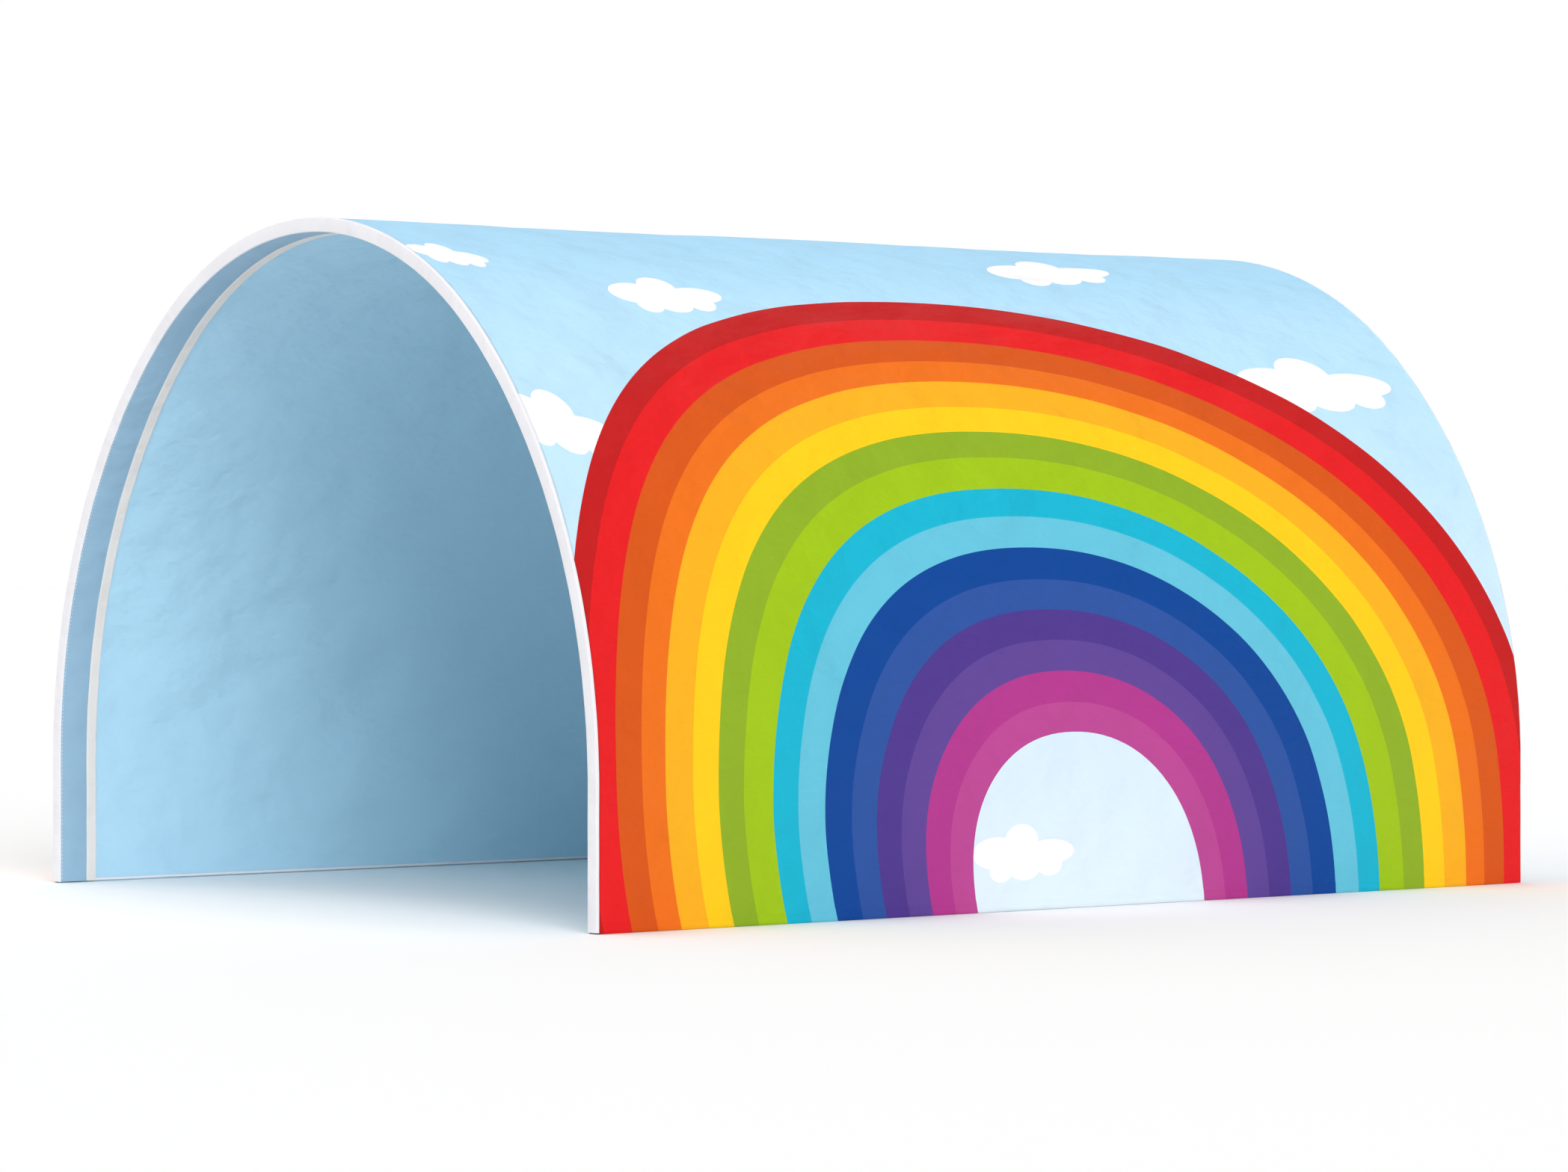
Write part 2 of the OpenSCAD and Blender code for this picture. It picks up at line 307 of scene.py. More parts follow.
def clear_of_foot(from_foot):
    """0 at the foot, which the hem holds straight, and 1 from a hand's width up."""
    return smoothstep(0.02, 0.14, from_foot)


def cover_pull(y, s):
    """Inward pull of the cover: a slight waist between hoops, wrinkles, gathers and the turned-up hem."""
    from_foot = np.minimum(s, GIRTH - s)
    clear = clear_of_foot(from_foot)
    waist = 1.3 * MM * off_hoops(y) * clear
    slack = 0.25 * MM * wrinkles(y, s, 1.3) * (0.12 + 0.88 * off_hoops(y)) * clear
    gathers = pucker(y, s, END_Y, 31 * MM, 0.2 * MM) * clear
    hem = -HEM_PROUD * (1 - smoothstep(HEM_FOLD, HEM_FOLD + HEM_STEP, from_foot))
    return np.minimum(waist + slack + gathers, (2.0 + 1.5 * off_hoops(y)) * MM) + hem


def lining_pull(y, s):
    """Inward pull of the lining: it hangs a little between hoops, most at the crown."""
    from_foot = np.minimum(s, GIRTH - s)
    clear = clear_of_foot(from_foot)
    high = smoothstep(0.3, 0.9, from_foot)
    hang = (0.8 + 3.6 * high) * MM * off_hoops(y) * clear
    slack = 0.5 * MM * wrinkles(y, s, 2.1) * off_hoops(y) * clear
    return np.maximum(hang + slack, -0.3 * MM - 2.0 * MM * off_hoops(y))


def grid_lines(start, end, middle_step, edge_step, edge_width):
    """Grid positions from start to end, closer together near both ends."""
    low, high = start + edge_width, end - edge_width
    middle = np.linspace(low, high, int((high - low) / middle_step) + 1)
    edge_count = int(edge_width / edge_step) + 1
    first = np.linspace(start, low, edge_count)[:-1]
    last = np.linspace(high, end, edge_count)[1:]
    return np.concatenate([first, middle, last])


# ---------------------------------------------------------------- materials
def srgb(r, g, b):
    """A colour given as 0 to 255 values, as the linear colour that a shader takes."""
    values = [v / 255 for v in (r, g, b)]
    linear = [v / 12.92 if v <= 0.04045 else ((v + 0.055) / 1.055) ** 2.4 for v in values]
    return (*linear, 1.0)


def new_material(name):
    """An empty material: the material, its node tree and its shader."""
    made = bpy.data.materials.new(name)
    made.use_nodes = True
    made.node_tree.nodes.clear()
    tree = made.node_tree
    shader = tree.nodes.new("ShaderNodeBsdfPrincipled")
    output = tree.nodes.new("ShaderNodeOutputMaterial")
    tree.links.new(shader.outputs["BSDF"], output.inputs["Surface"])
    return made, tree, shader


def put(tree, value, socket):
    """Links a node's output, or sets a plain value."""
    if hasattr(value, "is_output"):
        tree.links.new(value, socket)
    else:
        socket.default_value = value


def math_node(tree, operation, *values):
    """The result of one operation on numbers, each a node's output or a plain value."""
    node = tree.nodes.new("ShaderNodeMath")
    node.operation = operation
    for value, socket in zip(values, node.inputs):
        put(tree, value, socket)
    return node.outputs[0]


def vector_node(tree, operation, *values):
    """The result of one operation on vectors, each a node's output or a plain value."""
    node = tree.nodes.new("ShaderNodeVectorMath")
    node.operation = operation
    for value, socket in zip(values, node.inputs):
        put(tree, value, socket)
    return node.outputs["Value" if operation in ("LENGTH", "DOT_PRODUCT") else "Vector"]


def attribute_node(tree, name, output="Vector"):
    """What add_attribute stored under that name."""
    node = tree.nodes.new("ShaderNodeAttribute")
    node.attribute_name = name
    return node.outputs[output]


def mix_colour(tree, factor, first, second):
    node = tree.nodes.new("ShaderNodeMix")
    node.data_type = "RGBA"
    put(tree, factor, node.inputs["Factor"])
    put(tree, first, node.inputs["A"])
    put(tree, second, node.inputs["B"])
    return node.outputs["Result"]


def noise(tree, vector, scale, detail=3.0, roughness=0.55):
    """Cloudy noise from 0 to 1, with about scale blobs a metre."""
    node = tree.nodes.new("ShaderNodeTexNoise")
    tree.links.new(vector, node.inputs["Vector"])
    node.inputs["Scale"].default_value = scale
    node.inputs["Detail"].default_value = detail
    node.inputs["Roughness"].default_value = roughness
    return node.outputs["Fac"]


def ramp(tree, factor, stops, interpolation="LINEAR"):
    """A colour ramp through stops, a list of (position, colour)."""
    node = tree.nodes.new("ShaderNodeValToRGB")
    tree.links.new(factor, node.inputs["Fac"])
    band = node.color_ramp
    band.interpolation = interpolation
    while len(band.elements) < len(stops):
        band.elements.new(0.5)
    for element, (position, _) in zip(band.elements, stops):
        element.position = position
    for element, (_, colour) in zip(band.elements, stops):
        element.color = colour
    return node.outputs["Color"]


def weave_height(tree, place, thread):
    """Plain weave: threads along both cloth directions that pass over and under each other."""
    turn = math.pi / thread
    scaled = vector_node(tree, "MULTIPLY", place, (turn, turn, 0))
    split = tree.nodes.new("ShaderNodeSeparateXYZ")
    tree.links.new(scaled, split.inputs[0])
    warp = math_node(tree, "SINE", split.outputs["X"])
    weft = math_node(tree, "SINE", split.outputs["Y"])
    return math_node(tree, "MULTIPLY", warp, weft)


def bump(tree, height, distance, strength, normal=None):
    """Relief in the surface, distance deep in metres, on top of an earlier normal where one is given."""
    node = tree.nodes.new("ShaderNodeBump")
    node.inputs["Strength"].default_value = strength
    node.inputs["Distance"].default_value = distance
    tree.links.new(height, node.inputs["Height"])
    if normal is not None:
        tree.links.new(normal, node.inputs["Normal"])
    return node.outputs["Normal"]


def cloth_finish(tree, shader, place, colour, thread, roughness, sheen, bump_depth):
    """Colour with a faint yarn and dye variation, a woven bump over a soft crumple, and a cloth sheen."""
    dye = noise(tree, place, 7.0, 4.0)
    yarn = noise(tree, vector_node(tree, "MULTIPLY", place, (60.0, 900.0, 1.0)), 1.0, 2.0)
    dye_share = math_node(tree, "MULTIPLY", dye, 0.05)
    yarn_share = math_node(tree, "MULTIPLY", yarn, 0.03)
    shade = math_node(tree, "ADD", dye_share, yarn_share)
    level = math_node(tree, "ADD", shade, 0.96)
    tint = vector_node(tree, "SCALE", colour)
    tree.links.new(level, tint.node.inputs["Scale"])
    tree.links.new(tint, shader.inputs["Base Color"])
    weave = weave_height(tree, place, thread)
    crumple = noise(tree, place, 11.0, 4.0, 0.45)
    soft = bump(tree, crumple, 14.0 * MM, 1.0)
    tree.links.new(bump(tree, weave, bump_depth, 0.8, soft), shader.inputs["Normal"])
    rough = math_node(tree, "ADD", math_node(tree, "MULTIPLY", weave, 0.05), roughness)
    tree.links.new(rough, shader.inputs["Roughness"])
    shader.inputs["Specular IOR Level"].default_value = 0.16
    shader.inputs["Sheen Weight"].default_value = sheen
    shader.inputs["Sheen Roughness"].default_value = 0.45


def plain_cloth(name, colour, thread, roughness, sheen, bump_depth):
    """Woven cloth of one dye. thread is the width of its yarn."""
    made, tree, shader = new_material(name)
    place = attribute_node(tree, "flat")
    cloth_finish(tree, shader, place, srgb(*colour)[:3], thread, roughness, sheen, bump_depth)
    return made


# The print: a leaning rainbow of sixteen stripes over a sky with clouds, the same on both sides.
# Lengths are in metres: y runs along the tunnel and s up from the foot.
# Share 0 is the rainbow's outer edge and 1 its inner edge.
# Colour and relative width of each stripe, from the outer edge inwards
STRIPES = [
    ((196, 26, 27), 1.0),
    ((230, 27, 31), 1.0),
    ((216, 87, 19), 1.0),
    ((238, 114, 24), 0.9),
    ((249, 178, 28), 1.05),
    ((254, 206, 22), 1.0),
    ((143, 176, 37), 0.95),
    ((160, 197, 21), 1.1),
    ((20, 181, 210), 1.0),
    ((102, 196, 221), 1.0),
    ((5, 70, 152), 1.1),
    ((45, 84, 161), 0.95),
    ((80, 56, 142), 1.0),
    ((97, 70, 151), 0.95),
    ((180, 56, 142), 0.95),
    ((189, 72, 148), 1.0),
]
# Height up from the foot and the sky's colour there. The sky is print, lighter towards the foot; its darker
# top also holds painted shade, and the last stops are darkened further against the top light.
SKY_PRINT_AND_TOP_SHADE = [
    (0.00, (229, 244, 254)),
    (0.15, (220, 239, 254)),
    (0.45, (195, 230, 249)),
    (0.68, (184, 226, 250)),
    (0.80, (172, 219, 247)),
    (0.97, (163, 214, 244)),
]
CLOUD_WHITE = (254, 254, 254)
# A cloud's lobes, in shares of its width: centre along and up, half width, half height
CLOUD_LOBES = [
    (-0.266, 0.003, 0.235, 0.136),
    (-0.020, 0.098, 0.164, 0.142),
    (0.267, 0.003, 0.234, 0.101),
    (-0.225, -0.145, 0.113, 0.095),
    (0.006, -0.128, 0.154, 0.103),
    (0.256, -0.104, 0.125, 0.097),
]
# Centre y and s, width, height over width, tilt, lean
CLOUDS = [
    (-0.582, 0.772, 0.083, 1.39, -0.28, 0.0),
    (-0.356, 0.702, 0.141, 1.00, 0.0, 0.0),
    (0.233, 0.798, 0.190, 0.84, 0.116, 0.0),
    (0.469, 0.584, 0.226, 0.76, 0.0, -0.2),
    (-0.585, 0.509, 0.132, 1.19, -0.333, 0.0),
    (-0.092, 0.058, 0.134, 0.90, 0.0, 0.0),
]
RAINBOW_POWER = 2.16
RAINBOW_Y = -0.0015
SHARE_LOW, SHARE_HIGH = -0.15, 1.15


def rainbow_excess(y, s, share):
    """Below 0 inside the rainbow's line at that share, and above 0 outside it."""
    half_length = 0.6618 - 0.5075 * share
    half_length = half_length - 0.011 * np.maximum(1 - share * len(STRIPES), 0)
    top = 0.7019 - 0.5237 * share
    centre = 0.1028 - 0.0849 * share
    lean = 0.0757 + 0.1962 * share - 0.1249 * share**2
    up = s - centre
    along = np.abs((y - RAINBOW_Y + lean * up) / half_length) ** RAINBOW_POWER
    return along + np.abs(up / (top - centre)) ** RAINBOW_POWER - 1


def rainbow_share(y, s):
    """The share of the line that passes through each point, found by halving."""
    low = np.full(y.shape, SHARE_LOW)
    high = np.full(y.shape, SHARE_HIGH)
    for _ in range(24):
        middle = (low + high) / 2
        inside = rainbow_excess(y, s, middle) < 0
        low = np.where(inside, middle, low)
        high = np.where(inside, high, middle)
    return (low + high) / 2


def cloud_group():
    """A node group that takes a place, in shares of a cloud's width, and gives below 1 inside the cloud."""
    group = bpy.data.node_groups.new("cloud outline", "ShaderNodeTree")
    group.interface.new_socket("Place", in_out="INPUT", socket_type="NodeSocketVector")
    group.interface.new_socket("Measure", in_out="OUTPUT", socket_type="NodeSocketFloat")
    given = group.nodes.new("NodeGroupInput").outputs[0]
    result = None
    for x, y, half_width, half_height in CLOUD_LOBES:
        moved = vector_node(group, "SUBTRACT", given, (x, y, 0))
        scaled = vector_node(group, "MULTIPLY", moved, (1 / half_width, 1 / half_height, 0))
        measure = vector_node(group, "LENGTH", scaled)
        result = measure if result is None else math_node(group, "MINIMUM", result, measure)
    group.links.new(result, group.nodes.new("NodeGroupOutput").inputs[0])
    return group


def cloud_mask(tree, place, group):
    """1 inside any cloud."""
    nearest = None
    split = tree.nodes.new("ShaderNodeSeparateXYZ")
    tree.links.new(place, split.inputs[0])
    for y, s, width, tall, tilt, lean in CLOUDS:
        along = math_node(tree, "MULTIPLY", math_node(tree, "SUBTRACT", split.outputs["X"], y), 1 / width)
        up = math_node(tree, "MULTIPLY", math_node(tree, "SUBTRACT", split.outputs["Y"], s), 1 / width)
        level = math_node(tree, "SUBTRACT", up, math_node(tree, "MULTIPLY", along, tilt))
        level = math_node(tree, "DIVIDE", level, tall)
        leaned = math_node(tree, "SUBTRACT", along, math_node(tree, "MULTIPLY", level, lean))
        join = tree.nodes.new("ShaderNodeCombineXYZ")
        tree.links.new(leaned, join.inputs["X"])
        tree.links.new(level, join.inputs["Y"])
        cloud = tree.nodes.new("ShaderNodeGroup")
        cloud.node_tree = group
        tree.links.new(join.outputs[0], cloud.inputs[0])
        measure = cloud.outputs[0]
        nearest = measure if nearest is None else math_node(tree, "MINIMUM", nearest, measure)
    return math_node(tree, "LESS_THAN", nearest, 1.0)


def printed_cloth():
    """The cover's cloth: the rainbow's stripes where its share is 0 to 1, and sky with clouds elsewhere. The
    sky's darker top is partly painted shade.
    """
    made, tree, shader = new_material("printed cover")
    place = attribute_node(tree, "flat")
    split = tree.nodes.new("ShaderNodeSeparateXYZ")
    tree.links.new(place, split.inputs[0])
    # The sky ramp carries painted shade at its top as well as the printed sky.
    sky = ramp(tree, split.outputs["Y"], [(p, srgb(*c)) for p, c in SKY_PRINT_AND_TOP_SHADE])
    mask = cloud_mask(tree, place, cloud_group())
    ground = mix_colour(tree, mask, sky, srgb(*CLOUD_WHITE))
    share = attribute_node(tree, "rainbow", "Fac")
    span = SHARE_HIGH - SHARE_LOW
    position = math_node(tree, "DIVIDE", math_node(tree, "SUBTRACT", share, SHARE_LOW), span)
    widths = np.array([width for _, width in STRIPES])
    starts = (np.cumsum(widths) - widths) / widths.sum()
    colours = [srgb(*colour) for colour, _ in STRIPES]
    stops = [((start - SHARE_LOW) / span, colour) for start, colour in zip(starts, colours)]
    stripes = ramp(tree, position, stops, "CONSTANT")
    above = math_node(tree, "GREATER_THAN", share, 0.0)
    below = math_node(tree, "LESS_THAN", share, 1.0)
    colour = mix_colour(tree, math_node(tree, "MULTIPLY", above, below), ground, stripes)
    cloth_finish(tree, shader, place, colour, 0.7 * MM, 0.62, 0.04, 0.06 * MM)
    return made


def object_place(tree):
    return tree.nodes.new("ShaderNodeTexCoord").outputs["Object"]


def rod_material():
    """Pultruded glass fibre: pale, with fine streaks and a resin gloss."""
    made, tree, shader = new_material("fibreglass rod")
    streaks = noise(tree, vector_node(tree, "MULTIPLY", object_place(tree), (900, 25, 900)), 1.0, 4.0)
    pale, dark = srgb(226, 225, 212), srgb(196, 194, 180)
    tree.links.new(mix_colour(tree, streaks, pale, dark), shader.inputs["Base Color"])
    shader.inputs["Roughness"].default_value = 0.38
    shader.inputs["Coat Weight"].default_value = 0.2
    tree.links.new(bump(tree, streaks, 0.03 * MM, 0.6), shader.inputs["Normal"])
    return made


def metal_material():
    """Drawn aluminium tube with fine lines and light scuffs."""
    made, tree, shader = new_material("drawn aluminium")
    place = object_place(tree)
    lines = noise(tree, vector_node(tree, "MULTIPLY", place, (1500, 40, 1500)), 1.0, 5.0)
    scuffs = noise(tree, place, 45.0, 5.0, 0.7)
    shader.inputs["Base Color"].default_value = srgb(205, 207, 210)
    shader.inputs["Metallic"].default_value = 1.0
    line_share = math_node(tree, "MULTIPLY", lines, 0.18)
    scuff_share = math_node(tree, "MULTIPLY", scuffs, 0.2)
    rough = math_node(tree, "ADD", line_share, scuff_share)
    tree.links.new(math_node(tree, "ADD", rough, 0.14), shader.inputs["Roughness"])
    tree.links.new(bump(tree, lines, 0.02 * MM, 0.5), shader.inputs["Normal"])
    return made


def moulding_material(name, colour, roughness, grain, depth):
    """Moulded plastic or rubber with a fine spark-eroded grain."""
    made, tree, shader = new_material(name)
    place = object_place(tree)
    fine = noise(tree, place, grain, 3.0, 0.6)
    wear = noise(tree, place, 60.0, 4.0)
    dark = srgb(*colour)
    light = srgb(*[min(255, c + 18) for c in colour])
    tree.links.new(mix_colour(tree, wear, dark, light), shader.inputs["Base Color"])
    rough = math_node(tree, "ADD", math_node(tree, "MULTIPLY", fine, 0.15), roughness)
    tree.links.new(rough, shader.inputs["Roughness"])
    tree.links.new(bump(tree, fine, depth, 0.7), shader.inputs["Normal"])
    return made


PRINT = printed_cloth()
LINING = plain_cloth("lining cloth", (182, 222, 243), 0.7 * MM, 0.7, 0.06, 0.06 * MM)
# The facing's blue is the lining's blue at about 85 percent in each channel.
FACING = plain_cloth("facing cloth", (154, 188, 211), 0.9 * MM, 0.78, 0.12, 0.1 * MM)
TAPE = plain_cloth("white tape", (238, 237, 241), 0.6 * MM, 0.66, 0.12, 0.09 * MM)
INNER_TAPE = plain_cloth("light inner tape", (237, 231, 226), 0.6 * MM, 0.66, 0.12, 0.09 * MM)
THREAD = plain_cloth("white thread", (238, 238, 242), 0.25 * MM, 0.5, 0.2, 0.05 * MM)
PALE_THREAD = plain_cloth("pale blue thread", (214, 232, 246), 0.25 * MM, 0.5, 0.2, 0.05 * MM)
ROD = rod_material()
METAL = metal_material()
NYLON = moulding_material("moulded nylon", (38, 40, 44), 0.42, 1400.0, 0.03 * MM)
RUBBER = moulding_material("foot rubber", (26, 26, 27), 0.72, 900.0, 0.05 * MM)

SLOT_LOOKS = {
    "fibreglass": ROD,
    "aluminium_tube": METAL,
    "moulded_nylon": NYLON,
    "foot_rubber": RUBBER,
    "printed_cover": PRINT,
    "lining_cloth": LINING,
    "facing_cloth": FACING,
    "white_tape": TAPE,
}


def dress(piece, material):
    """Gives a new piece its look."""
    piece.data.materials.clear()
    piece.data.materials.append(material)


def squash_with_slide(piece):
    """A cloth piece that spans the tunnel goes with the front frame, on a mesh of its own."""
    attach(piece, "front_frame")
    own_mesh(piece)


# ---------------------------------------------------------------- cover and lining
def attribute_values(piece, name):
    """A vector attribute of the piece's points, one row for each."""
    values = np.empty(len(piece.data.vertices) * 3, np.float32)
    piece.data.attributes[name].data.foreach_get("vector", values)
    return values.reshape(-1, 3)


def place_on_cloth(row):
    """Gives the upright stitches of a bottom hem their place on the cover: y, height, height."""
    points = attribute_values(row, "position")
    flat = np.stack([points[:, 1], points[:, 2], points[:, 2]], -1)
    row.data.attributes["flat"].data.foreach_set("vector", flat.ravel())


def add_print(piece):
    """Stores the rainbow's share at each point, so that the stripes follow the cloth."""
    flat = attribute_values(piece, "flat").astype(float)
    add_attribute(piece, "rainbow", "FLOAT", rainbow_share(flat[:, 0], flat[:, 1]))


def make_cover():
    """The printed cover with its two turned-up bottom hems."""
    ys = grid_lines(-COVER_FRONT, COVER_REAR, 10 * MM, 3 * MM, 24 * MM)
    middle = np.linspace(HEM_FOLD, GIRTH - HEM_FOLD, 256)
    hem_lines = np.array([0.0, 5 * MM, HEM_FOLD + HEM_STEP])
    ss = np.unique(np.concatenate([middle, hem_lines, GIRTH - hem_lines]))
    cover = cloth_sheet("printed_cover_sheet", ys, ss, 0.0, cover_pull)
    add_print(cover)
    dress(cover, PRINT)
    squash_with_slide(cover)
    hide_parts("outer_cover")
    row_height = HEM_FOLD - 2 * MM
    for side, name in ((-1, "left"), (1, "right")):
        title = f"{name}_cover_hem_stitches"
        row = stitches_along(title, side, -COVER_FRONT, COVER_REAR, row_height, -HEM_PROUD, False)
        place_on_cloth(row)
        add_print(row)
        dress(row, PRINT)
        squash_with_slide(row)


def make_lining():
    """The plain lining, one wall thickness further in than the cover."""
    ys = grid_lines(-LINING_END, LINING_END, 12 * MM, 8 * MM, 48 * MM)
    ss = np.linspace(0, GIRTH, 220)
    lining = cloth_sheet("lining_sheet", ys, ss, WALL - CLOTH, lining_pull)
    dress(lining, LINING)
    squash_with_slide(lining)
    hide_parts("lining")


# ---------------------------------------------------------------- end trims
def rounded(corner, start, end):
    """Points on a quarter circle round corner, from start to end, the two directions as (depth, y)."""
    angles = [share * math.pi / 2 for share in (0, 0.2, 0.4, 0.6, 0.8, 1)]
    corner, start, end = (np.array(value) for value in (corner, start, end))
    return [tuple(corner + start * math.cos(a) + end * math.sin(a)) for a in angles]


def binding_profile(lap, direction):
    """Section of the folded tape over the wall's edge, as (depth, y) round a closed loop.

    With a lap it goes round onto the cover; without one it ends at the cover's edge.
    """
    flank = -0.4 * MM if lap else 0.0
    outer_round = 1.5 * MM if lap else 0.6 * MM
    inner_round = 1.5 * MM
    inner = TRIM_DEPTH + 0.5 * MM
    band = 0.9 * MM
    points = [(flank, lap)] if lap else []
    points += rounded((flank + outer_round, outer_round), (-outer_round, 0), (0, -outer_round))
    across = np.linspace(flank + outer_round, inner - inner_round, 8)[1:-1]
    width = inner - flank - outer_round - inner_round
    turns = math.pi * (across - flank - outer_round) / width
    points += [(d, -0.25 * MM * math.sin(turn)) for d, turn in zip(across, turns)]
    points += rounded((inner - inner_round, inner_round), (0, -inner_round), (inner_round, 0))
    points += [(inner - 0.5 * MM, inner_round), (inner - 1.2 * MM, band), (flank + 1.2 * MM, band)]
    points += [(flank + 0.45 * MM, 1.6 * MM), (flank + 0.45 * MM, lap)] if lap else [(flank, band)]
    return [(d, direction * (END_Y - y)) for d, y in points]


def facing_profile(direction):
    """Section of the rod channel: two seams with the cloth raised a little over the hoop between them."""
    count = 14
    across = np.linspace(1.0 * MM, FACING_WIDTH, count)
    rise = 1.1 * MM * np.sin(math.pi * np.clip((across - 3 * MM) / (FACING_WIDTH - 6 * MM), 0, 1)) ** 0.8
    face = [(TRIM_DEPTH + r, direction * (END_Y - y)) for y, r in zip(across, rise)]
    back = [(TRIM_DEPTH - CLOTH + r * 0.9, direction * (END_Y - y)) for y, r in zip(across, rise)]
    return face + back[::-1]


def tape_profile(direction):
    """Section of a flat woven tape with slightly raised, rounded edges."""
    start, width = FACING_WIDTH - 2 * MM, TAPE_WIDTH + 2 * MM
    shares = [0, 0.03, 0.08, 0.3, 0.5, 0.7, 0.92, 0.97, 1]
    rises = [-0.3, 0.0, 0.12, 0.0, 0.04, 0.0, 0.12, 0.0, -0.3]
    face = [(TRIM_DEPTH + (0.45 + rise) * MM, start + q * width) for q, rise in zip(shares, rises)]
    back = [(TRIM_DEPTH - 0.5 * MM, start + q * width) for q in (1, 0.5, 0)]
    return [(depth, direction * (END_Y - y)) for depth, y in face + back]


def edge_ripple(height):
    """How a sewn tape wanders along the edge, by a fraction of a millimetre."""

    def ripple(s):
        short = np.sin(2 * math.pi * s / 0.061)
        long = np.sin(2 * math.pi * s / 0.143 + 1.1)
        return height * (short + 0.6 * long)

    return ripple


def make_end(end, body, direction):
    """The binding, the facing, the inner tape and their stitching at one end of the tunnel."""
    def finish(piece, material, slot, node=None):
        dress(piece, material)
        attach(piece, body)
        if node:
            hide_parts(node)

    lap = FRONT_LAP if direction < 0 else 0.0
    profile = binding_profile(lap, direction)
    binding = band_round_arch(f"{end}_edge_binding", profile, edge_ripple(0.06 * MM))
    finish(binding, TAPE, "white_tape", f"{end}_binding")
    facing = band_round_arch(f"{end}_rod_channel", facing_profile(direction))
    finish(facing, FACING, "facing_cloth", f"{end}_facing")
    tape = band_round_arch(f"{end}_channel_tape", tape_profile(direction), edge_ripple(0.12 * MM))
    finish(tape, INNER_TAPE, "white_tape", f"{end}_inner_tape")
    rows = [
        ("channel_edge_stitches", END_Y - 3.2 * MM, TRIM_DEPTH + 0.02 * MM),
        ("tape_front_stitches", END_Y - FACING_WIDTH + 0.4 * MM, TRIM_DEPTH + 0.5 * MM),
        ("tape_back_stitches", END_Y - FACING_WIDTH - TAPE_WIDTH + 1.8 * MM, TRIM_DEPTH + 0.5 * MM),
    ]
    for name, y, depth in rows:
        row = stitches_round_arch(f"{end}_{name}", direction * y, depth)
        finish(row, THREAD, "white_tape")
    if lap:
        y = direction * (END_Y - 2 * MM)
        row = stitches_round_arch(f"{end}_binding_stitches", y, -0.42 * MM, inward=False)
        finish(row, THREAD, "white_tape")


# ---------------------------------------------------------------- bottom hems
def lengthwise_loft(name, ys, section, wander):
    """A strip along the tunnel with a closed (x, z) section; wander is how far its points move up."""
    rings = np.zeros((len(ys), len(section), 3))
    rings[:, :, 0] = section[None, :, 0]
    rings[:, :, 1] = ys[:, None]
    rings[:, :, 2] = section[None, :, 1] + wander
    return loft(name, rings, rings[:, :, [1, 0, 2]])


def make_hem(side, name):
    """The narrow tape along the lining's foot, its stitching, and the gusset that closes the wall."""
    def finish(piece, material, slot, node=None):
        dress(piece, material)
        squash_with_slide(piece)
        if node:
            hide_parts(node)

    low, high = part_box(f"{name}_hem_tape")
    ys = np.linspace(low.y, high.y, 200)
    inner_x = HALF_WIDTH - TRIM_DEPTH
    shares = np.array([0, 0.12, 0.3, 0.5, 0.7, 0.88, 1])
    swell = 0.45 * MM * np.sqrt(np.sin(math.pi * shares))
    face = np.stack([side * (inner_x + 0.3 * MM - swell), low.z + shares * (high.z - low.z)], -1)
    back_x = side * (inner_x + 0.75 * MM)
    section = np.concatenate([face, [(back_x, high.z), (back_x, low.z)]])
    upper = section[None, :, 1] > high.z - 1.2 * MM
    wander = 0.12 * MM * np.sin(2 * math.pi * ys / 0.087)[:, None] * upper
    piping = lengthwise_loft(f"{name}_hem_piping", ys, section, wander)
    finish(piping, TAPE, "white_tape", f"{name}_hem_tape")
    row_z = high.z + 1.6 * MM
    row = stitches_along(f"{name}_hem_stitches", side, low.y, high.y, row_z, WALL + 0.02 * MM, True)
    finish(row, PALE_THREAD, "lining_cloth")

    low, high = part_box(f"{name}_hem_gusset")
    ys = np.linspace(low.y, high.y, 120)
    across = np.linspace(low.x, high.x, 9)
    bow = 0.5 * MM * np.sin(math.pi * (across - low.x) / (high.x - low.x))
    top = np.stack([across, high.z + bow], -1)
    bottom = np.stack([across, low.z + bow], -1)[::-1]
    wander = 0.12 * MM * np.sin(2 * math.pi * ys / 0.05)[:, None]
    section = np.concatenate([top, bottom])
    gusset = lengthwise_loft(f"{name}_hem_gusset_sheet", ys, section, wander)
    finish(gusset, TAPE, "white_tape", f"{name}_hem_gusset")


def make_middle_seams():
    """Two rows of stitches on the lining at the middle hoop's sleeve."""
    low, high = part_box("middle_hoop_sleeve")
    for name, y in (("front", low.y + 3 * MM), ("rear", high.y - 3 * MM)):
        row = stitches_round_arch(f"middle_{name}_stitches", y, WALL + 0.02 * MM, lift=8 * MM)
        dress(row, PALE_THREAD)
        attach(row, "middle_frame")


# ---------------------------------------------------------------- studio
def direction_to(azimuth, elevation):
    """The unit vector to a viewpoint, in degrees; azimuth 0 is in front of the tunnel and 90 on its right."""
    a, e = math.radians(azimuth), math.radians(elevation)
    return Vector((math.sin(a) * math.cos(e), -math.cos(a) * math.cos(e), math.sin(e)))


def make_camera():
    """A long lens from the front right, almost level with the ground."""
    back = direction_to(51.601, 0.108)
    distance = 5.7305
    data = bpy.data.cameras.new("camera")
    data.sensor_width = 36.0
    data.lens = 120.67
    data.shift_x = -0.00158
    data.shift_y = -0.01566
    camera = bpy.data.objects.new("camera", data)
    camera.location = Vector((0, 0, HEIGHT / 2)) + back * distance
    camera.rotation_mode = "QUATERNION"
    camera.rotation_quaternion = (-back).to_track_quat("-Z", "Y")
    bpy.context.scene.collection.objects.link(camera)
    bpy.context.scene.camera = camera


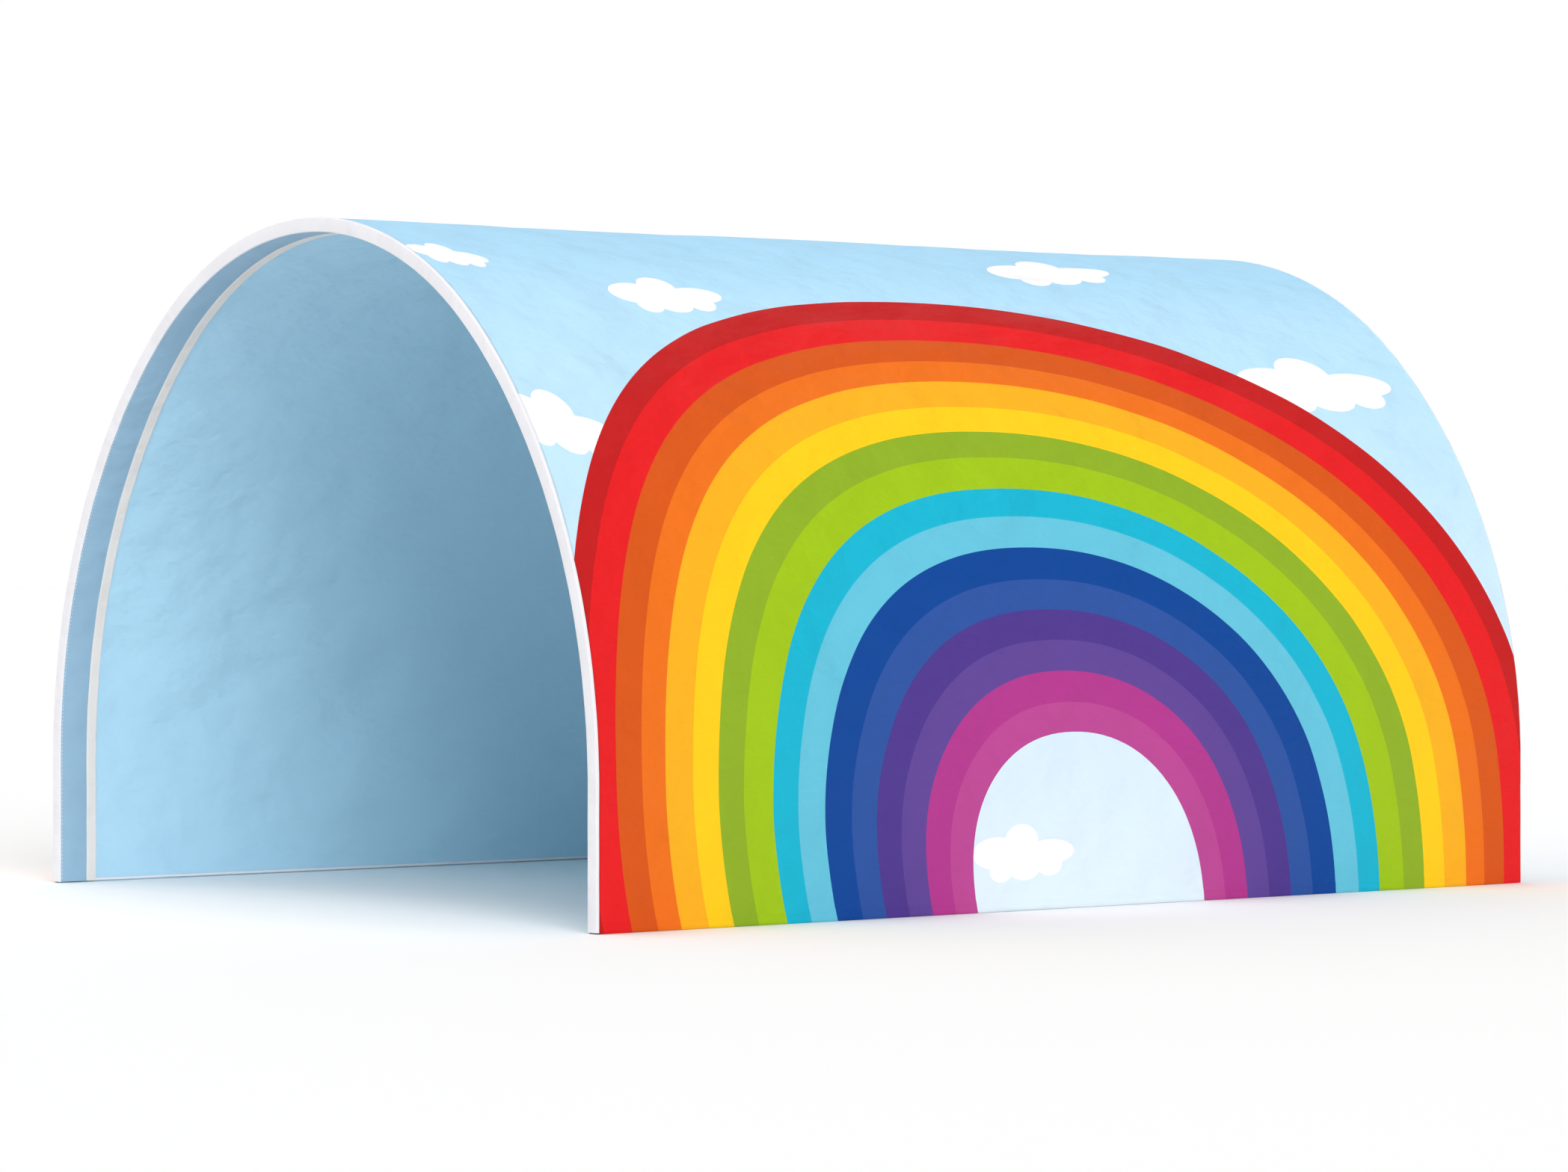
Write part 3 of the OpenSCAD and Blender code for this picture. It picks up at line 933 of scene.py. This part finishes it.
def soft_sun(name, azimuth, elevation, spread, strength):
    """An even light as from a large softbox that is spread degrees across."""
    back = direction_to(azimuth, elevation)
    data = bpy.data.lights.new(name, "SUN")
    data.angle = math.radians(spread)
    data.energy = strength
    light = bpy.data.objects.new(name, data)
    light.rotation_mode = "QUATERNION"
    light.rotation_quaternion = (-back).to_track_quat("-Z", "Y")
    bpy.context.scene.collection.objects.link(light)


def map_range(tree, value, low, high):
    """0 up to low and 1 from high on, with a smooth step between."""
    node = tree.nodes.new("ShaderNodeMapRange")
    node.interpolation_type = "SMOOTHSTEP"
    tree.links.new(value, node.inputs["Value"])
    node.inputs["From Min"].default_value = low
    node.inputs["From Max"].default_value = high
    return node.outputs[0]


def make_studio():
    """A white floor under a white surround, with a key and a top light.

    The surround is dark high up on the right and behind. So light comes in through the front opening, and the
    inside darkens towards the rear.
    """
    reach = 40.0
    corners = np.array([(x, y, 0) for x, y in ((-1, -1), (1, -1), (1, 1), (-1, 1))]) * reach
    floor = make_object("floor", corners, [(0, 1, 2, 3)])
    floor.location.z = -0.3 * MM
    made, _, shader = new_material("pale floor")
    shader.inputs["Base Color"].default_value = (0.97, 0.97, 0.97, 1)
    shader.inputs["Roughness"].default_value = 0.9
    shader.inputs["Specular IOR Level"].default_value = 0.1
    floor.data.materials.append(made)

    world = bpy.data.worlds.new("studio")
    world.use_nodes = True
    tree = world.node_tree
    direction = tree.nodes.new("ShaderNodeTexCoord").outputs["Generated"]
    split = tree.nodes.new("ShaderNodeSeparateXYZ")
    tree.links.new(direction, split.inputs[0])
    dark_side = math.radians(20)
    toward = vector_node(tree, "DOT_PRODUCT", direction, (math.cos(dark_side), math.sin(dark_side), 0))
    above_horizon = map_range(tree, split.outputs["Z"], 0.11, 0.25)
    dark = math_node(tree, "MULTIPLY", map_range(tree, toward, -0.5, 0.0), above_horizon)
    tree.links.new(math_node(tree, "SUBTRACT", 1.0, dark), tree.nodes["Background"].inputs["Strength"])
    tree.nodes["Background"].inputs["Color"].default_value = (1, 1, 1, 1)
    bpy.context.scene.world = world
    soft_sun("key", 66, 28, 32, 1.76)
    soft_sun("top", 0, 90, 40, 1.3)
    bpy.context.scene.view_settings.view_transform = "Standard"


# ---------------------------------------------------------------- assembly
make_camera()
make_studio()
make_cover()
make_lining()
make_end("front", "front_frame", -1)
make_end("rear", "rear_frame", 1)
make_hem(-1, "left")
make_hem(1, "right")
make_middle_seams()

for row in frame["record"]["subparts"]:
    node = frame["nodes"][row["node"]]
    node.data.materials.clear()
    node.data.materials.append(SLOT_LOOKS[row["material_slot"]])
